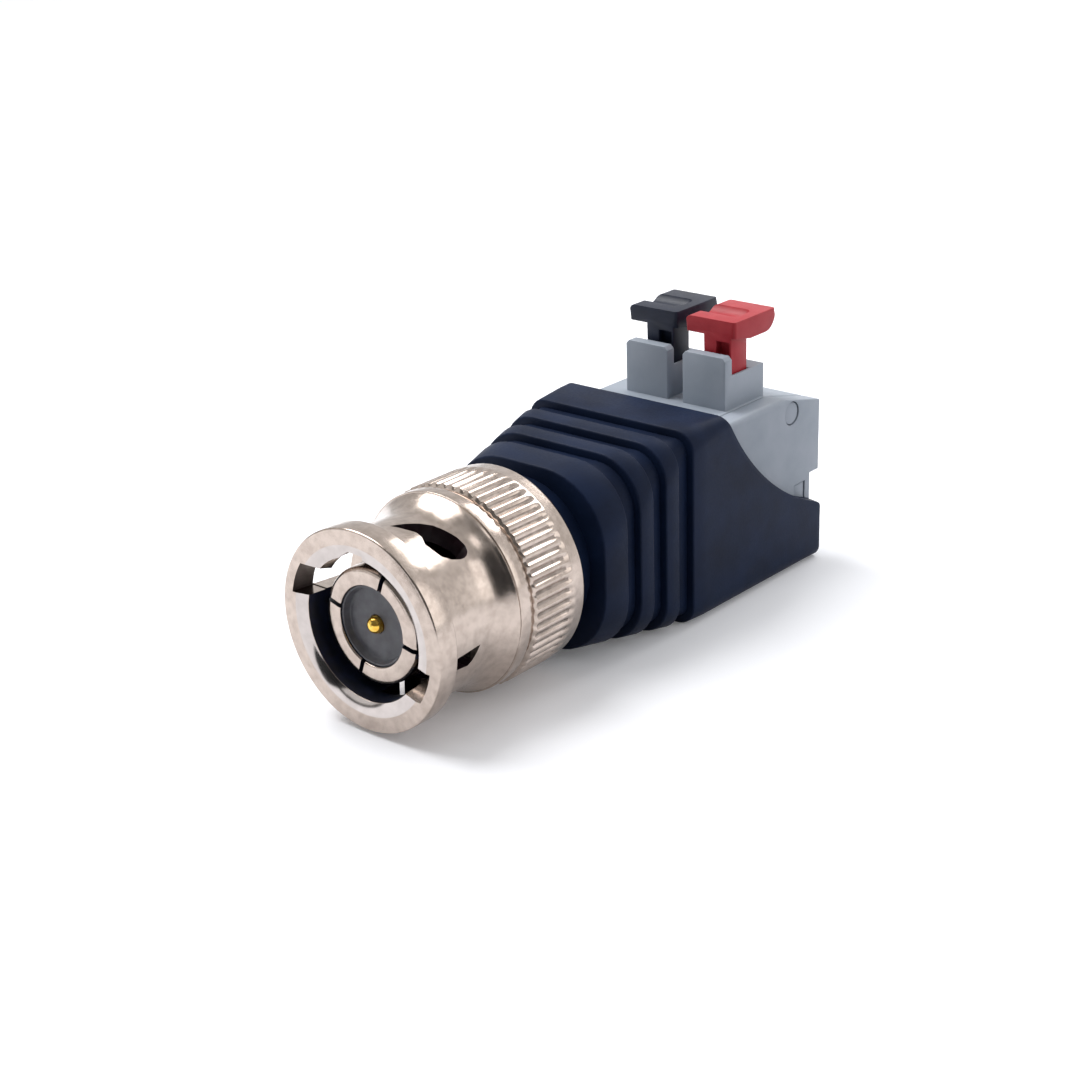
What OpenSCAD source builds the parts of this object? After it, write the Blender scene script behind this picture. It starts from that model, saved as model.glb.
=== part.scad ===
// Bayonet coaxial plug with a two-pole push-button terminal block in a ribbed boot.
// The coupling axis is +Y, running from the mating end towards the wires, and Z is up.
// The origin lies on that axis, where the contact sleeve meets the gasket's seat.

/* [Coupling nut] */
// Length of the nut
nut_len = 14.15; // [13.5:0.05:16]
// How far the nut's front face stands ahead of the contact sleeve
nut_lip = 1; // [0.5:0.1:2]
// Bore that takes the jack's barrel
nut_bore_d = 9.9; // [9.8:0.02:9.94]
// Outer diameter of the cone at the mouth
mouth_d = 11.7; // [10.4:0.1:12]
// Depth of the cone at the mouth
mouth_depth = 0.3; // [0.1:0.05:0.6]
// Diameter of the neck behind the front rim
neck_d = 12.4; // [12:0.1:13]
// How far the front rim stands out past the neck
rim_lip = 0.8; // [0.5:0.05:1]
// Length of the front rim
rim_len = 1.7; // [1.2:0.1:2.2]
// Chamfer on the front rim
rim_chamfer = 0.12; // [0.05:0.01:0.3]
// Radius of the hollow flare behind the neck
flare_r = 4; // [3:0.5:8]
// Diameter of the ring at the end of the flare
ring_d = 14.16; // [13.6:0.02:14.4]
// Distance from the front face to that ring
ring_from_front = 7.7; // [7:0.1:8]
// Width of that ring
ring_len = 0.95; // [0.6:0.05:1.2]
// Depth of the groove between the ring and the knurl
ring_groove_depth = 0.35; // [0.2:0.05:0.5]
// Width of that groove
ring_groove_len = 0.35; // [0.2:0.05:0.5]
// Diameter over the knurl
knurl_d = 14.5; // [14.2:0.1:15]
// Length of the straight knurl
knurl_len = 4; // [3:0.1:4.5]
// Number of knurl ribs
knurl_count = 60; // [40:1:72]
// How far the plain rim behind the knurl lies inside the knurl
rear_rim_step = 0.05; // [0:0.01:0.2]
// Depth of the knurl's valleys
knurl_depth = 0.28; // [0.15:0.01:0.4]
// Diameter of the spring chamber at the rear
chamber_d = 12.2; // [12:0.05:12.6]
// Thickness of the inner web that pulls on the body's flange
web_len = 0.8; // [0.6:0.05:1]
// How far the nut can be drawn forward against the spring washer
nut_travel = 0.5; // [0.3:0.05:0.6]

/* [Bayonet tracks] */
// Width of the entry notch for the jack's stud
notch_w = 2.3; // [2.1:0.05:2.6]
// How far the notch reaches past the neck's surface, so that it opens the neck
notch_past_neck = 0.1; // [0.05:0.05:0.25]
// Angle of the first notch, from +X towards +Z
notch_angle = 156; // [140:1:156]
// Width of the ramp slot
track_w = 2; // [1.9:0.05:2.1]
// Angle where the ramp slot begins
track_start = 168; // [168:1:176]
// Angle of the locking end
track_end = 50; // [44:1:60]
// Distance of the slot's beginning from the front face
track_start_from_front = 3.4; // [3.2:0.1:4]
// Distance of the locking end from the front face
track_end_from_front = 5; // [4.6:0.1:5.3]
// Diameter of the locking end
lock_d = 2.2; // [2.15:0.05:2.4]

/* [Plug body] */
// Outer diameter of the contact sleeve
sleeve_d = 8.1; // [8:0.02:8.14]
// Bore of the contact sleeve
sleeve_bore_d = 5.6; // [5:0.1:6]
// Length of the contact sleeve
sleeve_len = 6.4; // [5.8:0.1:7]
// Bevel at the sleeve's front edge
sleeve_bevel = 0.22; // [0.1:0.02:0.4]
// Width of the four slots that let the sleeve spring
slot_w = 0.35; // [0.2:0.05:0.5]
// Length of the slots
slot_len = 4.6; // [3:0.1:5.2]
// Angle of the first slot, from +X towards +Z
slot_angle = -19; // [-45:1:45]
// Diameter of the gasket's seat
gasket_seat_d = 8.5; // [8.45:0.05:8.6]
// Diameter of the hub that the nut turns on
hub_d = 8.84; // [8.7:0.02:9]
// Diameter of the flange that holds the nut
flange_d = 11.6; // [11.2:0.1:11.8]
// Thickness of the flange
flange_len = 0.8; // [0.6:0.05:1.2]
// Diameter of the barrel inside the boot
barrel_d = 8; // [7.6:0.1:8.4]
// Length of the barrel inside the boot
barrel_len = 6; // [5:0.1:6.5]
// Diameter of the stub that carries the ground lug
stub_d = 6.4; // [6:0.1:6.8]
// Bore of the barrel
barrel_bore_d = 4.8; // [4.4:0.1:5]
// Thickness of the wall between the two insulators
wall_len = 2; // [1.5:0.1:2.5]
// Depth of that wall's front face behind the flange's front face
wall_setback = 1; // [0.5:0.1:1.5]
// Hole through that wall
wall_bore_d = 3.2; // [3:0.1:3.6]

/* [Contact and insulators] */
// Diameter of the centre pin
pin_d = 1.35; // [1.3:0.01:1.4]
// How far the pin's tip lies behind the sleeve's front edge
pin_setback = 0.26; // [0.1:0.02:1]
// Length of the rounded tip
pin_tip_len = 0.45; // [0.3:0.05:0.7]
// Diameter of the flat at the tip
pin_tip_d = 0.7; // [0.4:0.05:1]
// Diameter of the collar trapped between the insulators
collar_d = 2.4; // [2:0.1:2.6]
// Diameter of the solder cup
cup_d = 1.9; // [1.7:0.05:2.2]
// Length of the solder cup
cup_len = 3.5; // [3:0.1:4.5]
// Depth of the hole in the solder cup
cup_depth = 2.4; // [1.5:0.1:2.8]
// How far the front insulator lies behind the sleeve's front edge
insulator_setback = 1.1; // [0.6:0.1:2]
// Length of the rear insulator
rear_insulator_len = 4; // [3:0.1:4.5]

/* [Seal and spring washer] */
// Length of the gasket
gasket_len = 0.6; // [0.4:0.05:0.8]
// Outer diameter of the gasket
gasket_d = 9.4; // [9.2:0.05:9.5]
// Free height of the wave washer
wave_h = 0.9; // [0.85:0.05:1.1]
// Thickness of the wave washer's strip
wave_t = 0.25; // [0.15:0.05:0.3]
// Number of waves
wave_count = 3; // [2:1:4]
// Inner diameter of the wave washer and the thrust washer
washer_bore_d = 9.2; // [9.1:0.05:9.3]
// Outer diameter of the wave washer and the thrust washer
washer_d = 11.5; // [11.2:0.1:11.8]
// Thickness of the thrust washer
thrust_len = 0.4; // [0.3:0.05:0.5]
// Thickness of the retaining ring
retainer_len = 0.7; // [0.5:0.05:0.8]
// Bore of the retaining ring
retainer_bore_d = 9.5; // [9.3:0.1:10]
// Depth of the retaining ring's groove in the nut
retainer_groove = 0.3; // [0.2:0.05:0.4]
// Gap between the retaining ring's ends
retainer_gap = 1.2; // [0.8:0.1:2]

/* [Boot] */
// How far the boot's sides stand out past the knurl
boot_past_knurl = 0.25; // [0.05:0.05:1]
// Thickness of the boot's side walls
boot_wall = 1; // [0.8:0.05:1.2]
// Height of the boot's top above the axis
boot_top = 7.6; // [7.4:0.1:8.6]
// Length of the closed collar on top
collar_len = 4.2; // [3.6:0.1:5]
// Corner radius of the collar
collar_r = 1.2; // [0.8:0.1:2.2]
// Number of ribs
rib_count = 3; // [2:1:3]
// Distance from rib to rib
rib_pitch = 2.75; // [2.5:0.05:2.8]
// Length of a rib
rib_len = 1.65; // [1.2:0.05:1.9]
// Length of the rib next to the nut
front_rib_len = 2.4; // [1.8:0.1:2.6]
// Length of the groove between the collar and the first rib
collar_groove_len = 1.4; // [1:0.1:1.8]
// Depth of the grooves between the ribs
rib_groove_depth = 0.6; // [0.4:0.1:1]
// How far the front rib's sides lie inside the collar's sides
front_rib_inset = 0.45; // [0.2:0.05:0.8]
// Height of the front rib's top above the axis
front_rib_top = 6.65; // [6.4:0.05:7.2]
// Depth of the front rib's underside below the axis
front_rib_bottom = 6.8; // [6.4:0.05:7.2]
// Corner radius of the front rib
front_rib_r = 5.2; // [3:0.1:6]
// Diameter of the neck in front of the ribs
boot_neck_d = 11.4; // [10.6:0.1:12.6]
// Length of that neck
boot_neck_len = 1.8; // [1.4:0.1:2.4]
// Gap between the nut and the boot
boot_gap = 0.5; // [0.3:0.1:1]
// Thickness of the boot's floor
floor_t = 1.05; // [0.8:0.05:1.4]
// Height of the side walls' rear end, from the axis
wing_top = -2.7; // [-4:0.1:-1]
// Radius of the hollow sweep along the side walls' edge
sweep_r = 22; // [18:0.5:30]
// Width of the space for the leads
lead_room_w = 10.4; // [9.6:0.1:11]
// Height of the space for the leads
lead_room_h = 8.4; // [7.6:0.1:9]

/* [Terminal block] */
// Height of the block's top above the axis
block_top = 6.38; // [6:0.02:6.6]
// Length of the block
block_len = 16.1; // [15.5:0.1:18]
// How far the block reaches under the boot's collar
block_grip = 2.4; // [1.6:0.1:2.8]
// Length of the slope at the rear of the top
slope_len = 5.3; // [4:0.1:6]
// Drop of that slope
slope_drop = 1.29; // [0.6:0.05:1.6]
// Height of the overhang's lower edge, from the axis
overhang_z = -0.56; // [-0.8:0.02:0.4]
// How far the upper rear face overhangs the lower one
overhang_len = 1.18; // [0.6:0.02:1.4]
// Thickness of the end cover
cover_t = 1.65; // [1.4:0.05:1.7]
// Distance between the two poles
pole_pitch = 5.25; // [5.2:0.05:5.35]
// Diameter of the round locating peg
peg_d = 1.7; // [1.2:0.1:2]
// Distance of the round peg from the rear face
peg_from_rear = 3.8; // [3.4:0.1:4.4]
// Height of the round peg
peg_z = 4.9; // [4.4:0.1:5]
// Side of the square locating peg
key_w = 1.3; // [1:0.1:1.6]
// Distance of the square peg from the rear face
key_from_rear = 2.6; // [2.2:0.1:3]
// Height of the square peg
key_z = -1.7; // [-2.4:0.1:-1.5]
// Width of a contact chamber
room_w = 3.6; // [3.5:0.1:3.7]
// Height of a contact chamber's floor
room_floor = -1; // [-1.6:0.1:0]
// Height of a contact chamber's roof
room_roof = 4.6; // [4.4:0.1:4.8]
// Thickness of the rear wall, which guides the wire
rear_wall = 3.2; // [2.6:0.1:3.6]
// Diameter of a wire entry
wire_d = 2.6; // [2:0.1:2.8]
// Height of the wire entries
wire_z = 2.4; // [1.8:0.1:2.6]
// Diameter of the funnel at a wire entry
funnel_d = 3.4; // [3:0.1:3.6]
// Depth of that funnel
funnel_len = 0.6; // [0.3:0.1:1]

/* [Towers] */
// Width of a tower
tower_w = 3.84; // [3.7:0.02:4.2]
// Distance of a tower's front wall from the block's front face
tower_from_front = 6.3; // [5.4:0.1:6.6]
// Length of a tower
tower_len = 4.97; // [4.6:0.1:5.4]
// Thickness of the tall front wall
tower_wall = 0.88; // [0.6:0.02:1]
// Height of the front wall above the block's top
tower_wall_h = 4.02; // [3.6:0.02:4.2]
// Height of the rest of the tower above the block's top
tower_h = 2.5; // [2:0.1:2.6]
// Chamfer on the front wall's upper corners
tower_chamfer = 0.3; // [0.1:0.05:0.6]

/* [Buttons] */
// Width of the head
head_w = 4.4; // [4:0.1:4.7]
// How far the head overhangs the stem on the inner side
head_overhang = 1.82; // [1:0.02:1.9]
// Length of the head
head_len = 5.2; // [4.6:0.1:5.6]
// Thickness of the head
head_h = 1.6; // [1.45:0.05:2]
// Rise of the head's underside towards the front
head_rise = 0.38; // [0.1:0.02:0.5]
// Corner radius of the head, seen from above
head_r = 0.3; // [0.2:0.05:0.8]
// Radius under the head's rear end
head_heel_r = 1.3; // [0.6:0.1:1.4]
// Width of the finger groove across the head
head_groove_w = 1.3; // [0.8:0.1:1.8]
// Depth of the finger groove
head_groove_depth = 0.5; // [0.3:0.05:0.8]
// Length of the bridge that closes the finger groove at one end
head_bridge = 0.9; // [0.5:0.1:1.4]
// Width of the stem
stem_w = 2.25; // [2:0.05:2.4]
// Length of the stem, front to back
stem_len = 2; // [1.5:0.05:2.1]
// Distance of the stem's side from the tower's side
stem_inset = 0.3; // [0.25:0.01:0.5]
// Depth of the hollow in the stem's front face
stem_hollow = 0.6; // [0.2:0.05:0.8]
// Width of that hollow
stem_hollow_w = 1.1; // [0.8:0.1:1.4]
// Thickness of the stem's side beside that hollow
stem_hollow_side = 0.2; // [0.15:0.05:0.4]
// Gap between the button and the front wall
button_front_gap = 0.3; // [0.25:0.05:0.5]
// Travel of the buttons
button_travel = 2.2; // [1.5:0.1:2.25]
// Space left under the head at the end of the travel
head_gap = 0.12; // [0.1:0.02:0.4]
// Height of the shoulder that keeps the button in
shoulder_h = 0.8; // [0.5:0.1:1.2]
// How far that shoulder stands out at the front and at the back
shoulder_w = 0.4; // [0.3:0.05:0.6]

/* [Springs, contacts and leads] */
// Width of a clamp spring
spring_w = 2.2; // [1.8:0.1:2.6]
// Thickness of a clamp spring
spring_t = 0.3; // [0.2:0.05:0.4]
// Gap between the clamp spring's lower leg and the chamber's rear end
spring_rear_gap = 1; // [0.5:0.1:1.2]
// Length of the clamp spring's lower leg
spring_foot_len = 8; // [6:0.1:8.5]
// Length of the clamp spring's upper leg
spring_arm_len = 7; // [6.6:0.1:7.4]
// Length of the clamp spring's bent lip
spring_lip_len = 2.2; // [1.5:0.1:2.4]
// Angle of the bent lip below level
spring_lip_angle = 50; // [40:1:60]
// Width of a contact strip
strip_w = 2.4; // [2:0.1:2.8]
// Thickness of a contact strip
strip_t = 0.5; // [0.4:0.05:0.7]
// Width of a contact strip's solder tail
tail_w = 1.2; // [1:0.1:1.6]
// Length of a solder tail ahead of the block
tail_len = 2; // [1.5:0.1:2]
// Diameter of the leads
lead_d = 0.9; // [0.6:0.05:0.95]
// Straight length at the ends of the leads
lead_end = 0.4; // [0.2:0.1:0.6]
// Thickness of the ground lug
lug_t = 0.5; // [0.3:0.05:0.6]
// Outer diameter of the ground lug's ring
lug_d = 8.2; // [7.8:0.1:8.3]
// Width of the ground lug's tab
tab_w = 1.6; // [1.2:0.1:2]
// Length of the ground lug's tab
tab_len = 1.2; // [0.8:0.1:1.5]

/* [Fits] */
// Radial clearance of the nut on the hub
running_fit = 0.05; // [0.02:0.01:0.1]
// Gap between parts that seat on each other along the axis
seat_gap = 0.05; // [0.02:0.01:0.1]
// Clearance of the parts that are pushed into each other
push_fit = 0.02; // [0.01:0.01:0.05]
// Clearance around the block in the boot
block_fit = 0.05; // [0.02:0.01:0.15]
// Clearance of the buttons in their slots
button_fit = 0.12; // [0.08:0.01:0.15]

/* [Hidden] */

$fn = 64;
// Cuts reach this far past the faces they open
cut = 0.5;

// Stations along the axis
sleeve_front = -sleeve_len;
nut_front = sleeve_front - nut_lip;
nut_rear = nut_front + nut_len;
knurl_front = nut_front + ring_from_front + ring_len + ring_groove_len;
web_front = gasket_len + nut_travel + 2 * seat_gap;
web_rear = web_front + web_len;
flange_front = web_rear + seat_gap;
flange_rear = flange_front + flange_len;
wave_front = flange_rear + seat_gap;
thrust_front = wave_front + wave_h + seat_gap;
retainer_front = thrust_front + thrust_len + seat_gap;
retainer_rear = retainer_front + retainer_len;
wall_front = flange_front + wall_setback;
wall_rear = wall_front + wall_len;
cup_front = wall_rear + rear_insulator_len;
cup_rear = cup_front + cup_len;
pin_tip = sleeve_front + pin_setback;
boot_front = nut_rear + boot_gap;
barrel_rear = boot_front + barrel_len;
stub_rear = barrel_rear + lug_t + seat_gap;

// Boot: ribs are counted from the collar towards the nut
boot_w = knurl_d + 2 * boot_past_knurl;
boot_bottom = knurl_d / 2;
front_rib_w = boot_w - 2 * front_rib_inset;
front_rib_front = boot_front + boot_neck_len;
rib_groove_len = rib_pitch - rib_len;
collar_front = front_rib_front + front_rib_len + (rib_count - 1) * rib_pitch + collar_groove_len;
collar_rear = collar_front + collar_len;
lead_room_front = barrel_rear - seat_gap;

// Terminal block, buttons and what they hold
block_w = boot_w - 2 * (boot_wall + block_fit);
block_front = collar_rear - block_grip;
block_rear = block_front + block_len;
block_bottom = boot_bottom - floor_t - block_fit;
lower_rear = block_rear - overhang_len;
boot_rear = lower_rear;
cover_x = block_w / 2 - cover_t;
room_rear = block_rear - rear_wall;
tower_front = block_front + tower_from_front;
tower_top = block_top + tower_h;
stem_front = tower_front + tower_wall + button_front_gap;
stem_right = tower_w / 2 - stem_inset;
stem_left = stem_right - stem_w;
head_left = stem_left - head_overhang;
head_bottom = tower_top + head_gap + button_travel;
head_top = head_bottom + head_h;
strip_top = room_floor + strip_t;
spring_r = (room_roof - shoulder_h - 2 * seat_gap - strip_top) / 2;
spring_top = strip_top + 2 * spring_r;
stem_bottom = spring_top + seat_gap;
spring_bend = room_rear - spring_foot_len - spring_rear_gap;
tail_front = block_front - tail_len;
poles = [pole_pitch / 2, -pole_pitch / 2];

function lerp(a, b, t) = a + (b - a) * t;

// Turns what is drawn along +Z so that it runs along the coupling axis
module on_axis(y = 0) {
  translate([0, y, 0]) rotate([-90, 0, 0]) children();
}

// Revolves a profile drawn as [radius, place along the axis]
module turned() {
  on_axis() rotate_extrude() children();
}

// Rectangle in such a profile, from one radius and place to another
module step(r0, r1, y0, y1) {
  translate([r0, y0]) square([r1 - r0, y1 - y0]);
}

// Extrudes a section drawn in X and Z along the axis
module slab(y0, y1) {
  translate([0, y1, 0]) rotate([90, 0, 0]) linear_extrude(y1 - y0) children();
}

// Extrudes a side view drawn in Y and Z across X
module across(x0, x1) {
  translate([x0, 0, 0]) rotate([90, 0, 90]) linear_extrude(x1 - x0) children();
}

// Box between two corners
module block(low, high) {
  translate(low) cube(high - low);
}

// Coupling nut: turned profile, knurl and the two bayonet tracks
function knurl_point(i, part, r) =
  let (a = 360 * (i + part) / knurl_count) [r * cos(a), r * sin(a)];

module knurl_outline() {
  land = knurl_d / 2;
  valley = land - knurl_depth;
  polygon([
    for (i = [0 : knurl_count - 1])
      each [
        knurl_point(i, 0, valley),
        knurl_point(i, 0.3, valley),
        knurl_point(i, 0.45, land),
        knurl_point(i, 0.85, land)
      ]
  ]);
}

module nut_outside() {
  neck = neck_d / 2;
  rim = neck + rim_lip;
  ring = ring_d / 2;
  rear_rim = knurl_d / 2 - rear_rim_step;
  ring_front = nut_front + ring_from_front;
  ring_rear = ring_front + ring_len;
  flare_rise = ring - neck;
  flare_len = sqrt(2 * flare_r * flare_rise - flare_rise * flare_rise);
  polygon([
    [0, nut_front],
    [rim - rim_chamfer, nut_front],
    [rim, nut_front + rim_chamfer],
    [rim, nut_front + rim_len - rim_chamfer],
    [rim - rim_chamfer, nut_front + rim_len],
    [0, nut_front + rim_len]
  ]);
  step(0, neck, nut_front, nut_rear);
  difference() {
    step(0, ring, ring_front - flare_len, ring_front);
    translate([neck + flare_r, ring_front - flare_len]) circle(r = flare_r);
  }
  step(0, ring, ring_front, ring_rear);
  step(0, ring - ring_groove_depth, ring_front, knurl_front + knurl_len);
  polygon([
    [0, knurl_front + knurl_len],
    [rear_rim, knurl_front + knurl_len],
    [rear_rim, nut_rear - 2 * rim_chamfer],
    [rear_rim - 2 * rim_chamfer, nut_rear],
    [0, nut_rear]
  ]);
}

module nut_inside() {
  bore = nut_bore_d / 2;
  polygon([
    [0, nut_front - cut],
    [mouth_d / 2, nut_front - cut],
    [mouth_d / 2, nut_front],
    [bore, nut_front + mouth_depth],
    [bore, web_front],
    [hub_d / 2 + running_fit, web_front],
    [hub_d / 2 + running_fit, web_rear],
    [chamber_d / 2, web_rear],
    [chamber_d / 2, retainer_front - push_fit],
    [chamber_d / 2 + retainer_groove, retainer_front - push_fit],
    [chamber_d / 2 + retainer_groove, retainer_rear + push_fit],
    [chamber_d / 2, retainer_rear + push_fit],
    [chamber_d / 2, nut_rear + cut],
    [0, nut_rear + cut]
  ]);
}

// Entry notch, ramp slot and round locking end of one track. The ramp lies between two
// parallel planes, tilted so that it climbs from the notch to the locking end
module bayonet_track() {
  neck = neck_d / 2;
  middle = (track_start + track_end) / 2;
  half_turn = (track_start - track_end) / 2;
  start_y = nut_front + track_start_from_front;
  end_y = nut_front + track_end_from_front;
  tilt = atan((end_y - start_y) / (2 * neck * sin(half_turn)));
  rotate([0, -notch_angle, 0])
    block(
      [0, nut_front - cut, -notch_w / 2],
      [neck + notch_past_neck, start_y, notch_w / 2]
    );
  rotate([0, -middle, 0])
    intersection() {
      translate([0, (start_y + end_y) / 2, 0])
        rotate([tilt, 0, 0])
          block([0, -track_w / 2, -neck_d], [neck_d, track_w / 2, neck_d]);
      slab(nut_front, nut_rear)
        polygon([
          [0, 0],
          [neck_d, -neck_d * tan(half_turn)],
          [neck_d, neck_d * tan(half_turn)]
        ]);
    }
  rotate([0, -track_end, 0])
    translate([0, end_y, 0]) rotate([0, 90, 0]) cylinder(d = lock_d, h = neck_d);
}

module coupling_nut() {
  color("#c9c4bc")
    difference() {
      union() {
        turned() nut_outside();
        on_axis(knurl_front) linear_extrude(knurl_len) knurl_outline();
      }
      turned() nut_inside();
      for (turn = [0, 180])
        rotate([0, turn, 0]) bayonet_track();
    }
}

// Plug body: contact sleeve, gasket seat, hub, flange and barrel in one turned piece
module plug_body() {
  sleeve = sleeve_d / 2;
  color("#cfcac2")
    difference() {
      turned()
        polygon([
          [0, sleeve_front],
          [sleeve - sleeve_bevel, sleeve_front],
          [sleeve, sleeve_front + sleeve_bevel],
          [sleeve, 0],
          [gasket_seat_d / 2, 0],
          [gasket_seat_d / 2, gasket_len],
          [hub_d / 2, gasket_len],
          [hub_d / 2, flange_front],
          [flange_d / 2, flange_front],
          [flange_d / 2, flange_rear],
          [hub_d / 2, flange_rear],
          [hub_d / 2, boot_front - seat_gap],
          [barrel_d / 2, boot_front - seat_gap],
          [barrel_d / 2, barrel_rear],
          [stub_d / 2, barrel_rear],
          [stub_d / 2, stub_rear],
          [0, stub_rear]
        ]);
      turned() {
        step(0, sleeve_bore_d / 2, sleeve_front - cut, wall_front);
        step(0, wall_bore_d / 2, wall_front - cut, wall_rear + cut);
        step(0, barrel_bore_d / 2, wall_rear, stub_rear + cut);
      }
      for (i = [0 : 3])
        rotate([0, -slot_angle - 90 * i, 0])
          block(
            [0, sleeve_front - cut, -slot_w / 2],
            [sleeve_d, sleeve_front + slot_len, slot_w / 2]
          );
    }
}

// Insulators that hold the centre pin in the body
module front_insulator() {
  outer = sleeve_bore_d / 2 - push_fit;
  inner = pin_d / 2 + push_fit;
  front = sleeve_front + insulator_setback;
  color("#6d7178")
    turned() step(inner, outer, front, wall_front - push_fit);
}

module rear_insulator() {
  outer = barrel_bore_d / 2 - push_fit;
  inner = pin_d / 2 + push_fit;
  color("white")
    turned() step(inner, outer, wall_rear + push_fit, cup_front - push_fit);
}

module centre_pin() {
  color("#d4a93f")
    turned()
      difference() {
        union() {
          polygon([
            [0, pin_tip],
            [pin_tip_d / 2, pin_tip],
            [pin_d / 2, pin_tip + pin_tip_len],
            [pin_d / 2, cup_front],
            [0, cup_front]
          ]);
          step(0, collar_d / 2, wall_front + push_fit, wall_rear - push_fit);
          step(0, cup_d / 2, cup_front, cup_rear);
        }
        step(0, lead_d / 2 + push_fit, cup_rear - cup_depth, cup_rear + cut);
      }
}

// Rubber ring at the bottom of the gap between sleeve and nut
module gasket() {
  color("#1b1d22")
    turned() step(gasket_seat_d / 2 + push_fit, gasket_d / 2, 0, gasket_len);
}

// Wave washer: a thin ring whose height follows a sine round the axis
wave_stations = 48;
function wave_ring(r, lift) = [
  for (i = [0 : wave_stations - 1])
    let (a = 360 * i / wave_stations)
      [r * cos(a), r * sin(a), lift + (wave_h - wave_t) * (1 + sin(wave_count * a)) / 2]
];

module wave_washer() {
  n = wave_stations;
  inner = washer_bore_d / 2;
  outer = washer_d / 2;
  corners = concat(
    wave_ring(inner, 0),
    wave_ring(outer, 0),
    wave_ring(outer, wave_t),
    wave_ring(inner, wave_t)
  );
  faces = [
    for (side = [0 : 3])
      for (i = [0 : n - 1])
        let (j = (i + 1) % n, a = side * n, b = ((side + 1) % 4) * n)
          each [[a + i, a + j, b + i], [a + j, b + j, b + i]]
  ];
  color("#b4a878")
    on_axis(wave_front) polyhedron(corners, faces);
}

module thrust_washer() {
  color("#b8b4ac")
    turned() step(washer_bore_d / 2, washer_d / 2, thrust_front, thrust_front + thrust_len);
}

// Spring ring snapped into the nut's groove
module retaining_ring() {
  outer = chamber_d / 2 + retainer_groove - push_fit;
  color("#a9a59d")
    difference() {
      turned() step(retainer_bore_d / 2, outer, retainer_front, retainer_rear);
      block(
        [0, retainer_front - cut, -retainer_gap / 2],
        [outer + cut, retainer_rear + cut, retainer_gap / 2]
      );
    }
}

// Solder lug on the body's stub, with its tab bent along the axis
module ground_lug() {
  ring = lug_d / 2;
  color("#c8b06a") {
    turned() step(stub_d / 2 + push_fit, ring, barrel_rear, barrel_rear + lug_t);
    block([-ring, barrel_rear, -tab_w / 2], [lug_t - ring, barrel_rear + lug_t + tab_len, tab_w / 2]);
  }
}

// Boot section: a rounded rectangle about the axis, with its own top and bottom
module boot_section(w, top, bottom, r) {
  half = w / 2;
  translate([-half, r - bottom]) square([w, top + bottom - 2 * r]);
  translate([r - half, -bottom]) square([w - 2 * r, top + bottom]);
  for (x = [r - half, half - r])
    for (z = [r - bottom, top - r])
      translate([x, z]) circle(r = r);
}

// Section of rib number i, counted from the collar, cut back by an inset
module rib_section(i, inset) {
  t = (i + 1) / rib_count;
  boot_section(
    lerp(boot_w, front_rib_w, t) - 2 * inset,
    lerp(boot_top, front_rib_top, t) - inset,
    lerp(boot_bottom, front_rib_bottom, t) - inset,
    lerp(collar_r, front_rib_r, t)
  );
}

// Centre of the sweep that passes the collar's rear edge and the side walls' rear end
function sweep_centre() =
  let (
    p = [collar_rear, boot_top],
    q = [boot_rear, wing_top],
    d = q - p,
    rise = sqrt(sweep_r * sweep_r - d * d / 4) / norm(d)
  ) (p + q) / 2 + rise * [-d[1], d[0]];

module boot() {
  room = [lead_room_w / 2, lead_room_h / 2];
  pocket = block_w / 2 + block_fit;
  sweep = sweep_centre();
  color("#2a3140")
    difference() {
      union() {
        slab(collar_front, boot_rear) boot_section(boot_w, boot_top, boot_bottom, collar_r);
        for (i = [0 : rib_count - 1]) {
          rear = collar_front - collar_groove_len - i * rib_pitch;
          front = rear - (i == rib_count - 1 ? front_rib_len : rib_len);
          groove_end = rear + (i == 0 ? collar_groove_len : rib_groove_len);
          slab(front, rear) rib_section(i, 0);
          slab(rear, groove_end) rib_section(i, rib_groove_depth);
        }
        on_axis(boot_front) cylinder(d = boot_neck_d, h = boot_neck_len);
      }
      translate([-boot_w, sweep[0], sweep[1]])
        rotate([0, 90, 0]) cylinder(r = sweep_r, h = 2 * boot_w, $fn = 128);
      on_axis(boot_front - cut) cylinder(d = barrel_d + 2 * push_fit, h = barrel_len + 2 * cut);
      block([-room[0], lead_room_front, -room[1]], [room[0], block_front, room[1]]);
      block(
        [-pocket, block_front - block_fit, -block_bottom - block_fit],
        [pocket, boot_rear + cut, block_top + block_fit]
      );
    }
}

// Side view of the terminal block
module block_side() {
  polygon([
    [block_front, -block_bottom],
    [block_front, block_top],
    [block_rear - slope_len, block_top],
    [block_rear, block_top - slope_drop],
    [block_rear, overhang_z],
    [lower_rear, overhang_z],
    [lower_rear, -block_bottom]
  ]);
}

// Locating pegs that run through the end cover, with a clearance round them
module cover_pegs(gap, x0, x1) {
  y = block_rear - peg_from_rear;
  k = block_rear - key_from_rear;
  half = key_w / 2 + gap;
  translate([x0, y, peg_z]) rotate([0, 90, 0]) cylinder(d = peg_d + 2 * gap, h = x1 - x0);
  block([x0, k - half, key_z - half], [x1, k + half, key_z + half]);
}

// Tower round a button, drawn about its pole
module tower() {
  half = tower_w / 2;
  wall_top = block_top + tower_wall_h;
  slab(tower_front, tower_front + tower_wall)
    polygon([
      [-half, block_top - cut],
      [half, block_top - cut],
      [half, wall_top - tower_chamfer],
      [half - tower_chamfer, wall_top],
      [tower_chamfer - half, wall_top],
      [-half, wall_top - tower_chamfer]
    ]);
  block([-half, tower_front, block_top - cut], [half, tower_front + tower_len, tower_top]);
}

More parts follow.
